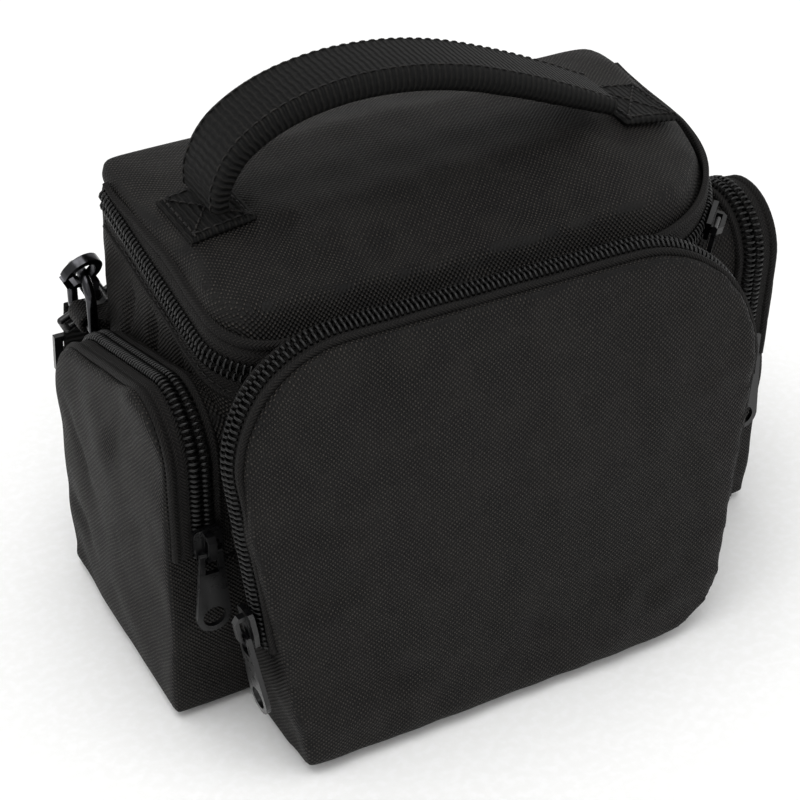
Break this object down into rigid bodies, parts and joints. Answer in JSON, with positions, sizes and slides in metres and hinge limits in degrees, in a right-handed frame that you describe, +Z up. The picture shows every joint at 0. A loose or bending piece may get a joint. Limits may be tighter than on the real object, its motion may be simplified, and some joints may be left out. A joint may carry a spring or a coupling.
{
  "type": "camera bag",
  "caption": "Small padded camera bag with a zip lid, grab handle, zip pockets on the front and sides, and a clip-on shoulder strap.",
  "frame": {"origin": "centre of the bag's footprint, on the surface it rests on, the shoulder strap left out", "axes": "+X to the right as the front is seen, -Y out of the front pocket, +Z up"},
  "size_m": [0.226, 0.2373, 0.1873],
  "materials": {
    "oxford": "woven polyester, matt",
    "webbing": "ribbed nylon webbing",
    "zip_tape": "herringbone tape with a nylon coil",
    "lining": "brushed nylon over foam",
    "foam": "closed-cell foam",
    "black_metal": "satin black enamel"
  },
  "bodies": {
    "bag": {"body_shell": "oxford", "body_lining": "lining", "base_board": "lining", "divider_left": "lining", "divider_right": "lining", "lid_zip_lower": "zip_tape", "front_gusset": "oxford", "front_tray": "oxford", "front_zip_inner": "zip_tape", "left_gusset": "oxford", "left_tray": "oxford", "left_zip_inner": "zip_tape", "right_gusset": "oxford", "right_tray": "oxford", "right_zip_inner": "zip_tape", "left_ring_tab": "webbing", "right_ring_tab": "webbing", "left_loop": "black_metal", "right_loop": "black_metal", "strap_left": "webbing", "strap_coil": "webbing", "strap_right": "webbing", "strap_adjuster": "black_metal"},
    "lid": {"lid_shell": "oxford", "lid_lining": "lining", "lid_zip_upper": "zip_tape", "handle_anchor_left": "webbing", "handle_anchor_right": "webbing"},
    "handle": {"handle_cover": "webbing", "handle_core": "foam"},
    "corner_slider": {"lid_slider_corner": "black_metal"},
    "corner_pull": {"lid_pull_corner": "black_metal"},
    "front_top_slider": {"lid_slider_front": "black_metal"},
    "front_top_pull": {"lid_pull_front": "black_metal"},
    "front_cover": {"front_flap": "oxford", "front_zip_outer": "zip_tape"},
    "front_zip_slider": {"front_slider": "black_metal"},
    "front_zip_pull": {"front_pull": "black_metal"},
    "left_cover": {"left_flap": "oxford", "left_zip_outer": "zip_tape"},
    "left_zip_slider": {"left_slider": "black_metal"},
    "left_zip_pull": {"left_pull": "black_metal"},
    "left_ring_body": {"left_ring": "black_metal"},
    "left_hook_body": {"left_hook": "black_metal"},
    "left_gate_body": {"left_gate": "black_metal"},
    "right_cover": {"right_flap": "oxford", "right_zip_outer": "zip_tape"},
    "right_zip_slider": {"right_slider": "black_metal"},
    "right_zip_pull": {"right_pull": "black_metal"},
    "right_ring_body": {"right_ring": "black_metal"},
    "right_hook_body": {"right_hook": "black_metal"},
    "right_gate_body": {"right_gate": "black_metal"}
  },
  "joints": [
    {"name": "lid_hinge", "type": "hinge", "parent": "bag", "child": "lid", "pos_m": [0, 0.0703, 0.1402], "axis": [-1, 0, 0], "range_deg": [0, 110]},
    {"name": "handle_swing", "type": "hinge", "parent": "lid", "child": "handle", "pos_m": [0, 0.019, 0.1515], "axis": [1, 0, 0], "range_deg": [-10, 12], "stiffness_Nm_per_rad": 0.06},
    {"name": "lid_slider_corner_run", "type": "hinge", "parent": "bag", "child": "corner_slider", "pos_m": [0.042, 0.019, 0.13142], "axis": [0, -0.166, 0.9861], "range_deg": [-4, 2]},
    {"name": "lid_pull_corner_swing", "type": "hinge", "parent": "corner_slider", "child": "corner_pull", "pos_m": [0.0783, -0.02361, 0.12424], "axis": [0.6947, -0.7094, -0.1194], "range_deg": [-5, 3]},
    {"name": "lid_slider_front_run", "type": "slide", "parent": "bag", "child": "front_top_slider", "axis": [-1, 0, 0], "range_m": [0, 0.08]},
    {"name": "lid_pull_front_swing", "type": "hinge", "parent": "front_top_slider", "child": "front_top_pull", "pos_m": [0.0478, -0.0373, 0.123], "axis": [0, 0, -1], "range_deg": [0, 2]},
    {"name": "front_flap_fold", "type": "hinge", "parent": "bag", "child": "front_cover", "pos_m": [0, -0.0634, 0.04126], "axis": [1, 0, 0], "range_deg": [0, 100]},
    {"name": "front_slider_run", "type": "slide", "parent": "bag", "child": "front_zip_slider", "axis": [-0.1298, 0.138, 0.9819], "range_m": [0, 0.02]},
    {"name": "front_pull_swing", "type": "hinge", "parent": "front_zip_slider", "child": "front_zip_pull", "pos_m": [-0.09977, -0.0519, 0.05055], "axis": [0, -0.9903, 0.1392], "range_deg": [-100, 0]},
    {"name": "left_flap_fold", "type": "hinge", "parent": "bag", "child": "left_cover", "pos_m": [-0.113, 0.015, 0.0602], "axis": [0, -1, 0], "range_deg": [0, 95]},
    {"name": "left_slider_run", "type": "slide", "parent": "bag", "child": "left_zip_slider", "axis": [0, 0, 1], "range_m": [0, 0.018]},
    {"name": "left_pull_swing", "type": "hinge", "parent": "left_zip_slider", "child": "left_zip_pull", "pos_m": [-0.1013, -0.0333, 0.0678], "axis": [1, 0, 0], "range_deg": [-18, 0]},
    {"name": "left_ring_tilt", "type": "hinge", "parent": "bag", "child": "left_ring_body", "pos_m": [-0.0995, 0.0685, 0.091], "axis": [0, 1, 0], "range_deg": [-2, 2]},
    {"name": "left_hook_swivel", "type": "hinge", "parent": "bag", "child": "left_hook_body", "pos_m": [-0.09364, 0.07494, 0.09631], "axis": [-0.366, -0.5, 0.7849], "range_deg": [-6, 6]},
    {"name": "left_gate_spring", "type": "hinge", "parent": "left_hook_body", "child": "left_gate_body", "pos_m": [-0.10358, 0.06854, 0.1039], "axis": [-0.2113, 0.866, 0.4531], "range_deg": [0, 12], "stiffness_Nm_per_rad": 0.004, "springref_deg": -11.46},
    {"name": "right_flap_fold", "type": "hinge", "parent": "bag", "child": "right_cover", "pos_m": [0.113, 0.015, 0.0602], "axis": [0, 1, 0], "range_deg": [0, 95]},
    {"name": "right_slider_run", "type": "slide", "parent": "bag", "child": "right_zip_slider", "axis": [0, 0, 1], "range_m": [0, 0.018]},
    {"name": "right_pull_swing", "type": "hinge", "parent": "right_zip_slider", "child": "right_zip_pull", "pos_m": [0.1013, -0.0223, 0.0678], "axis": [1, 0, 0], "range_deg": [-100, 0]},
    {"name": "right_ring_tilt", "type": "hinge", "parent": "bag", "child": "right_ring_body", "pos_m": [0.0995, 0.0685, 0.091], "axis": [0, 1, 0], "range_deg": [-2, 2]},
    {"name": "right_hook_swivel", "type": "hinge", "parent": "bag", "child": "right_hook_body", "pos_m": [0.09364, 0.07494, 0.09631], "axis": [0.366, -0.5, 0.7849], "range_deg": [-6, 6]},
    {"name": "right_gate_spring", "type": "hinge", "parent": "right_hook_body", "child": "right_gate_body", "pos_m": [0.10358, 0.06854, 0.1039], "axis": [-0.2113, -0.866, -0.4531], "range_deg": [0, 12], "stiffness_Nm_per_rad": 0.004, "springref_deg": -11.46}
  ]
}
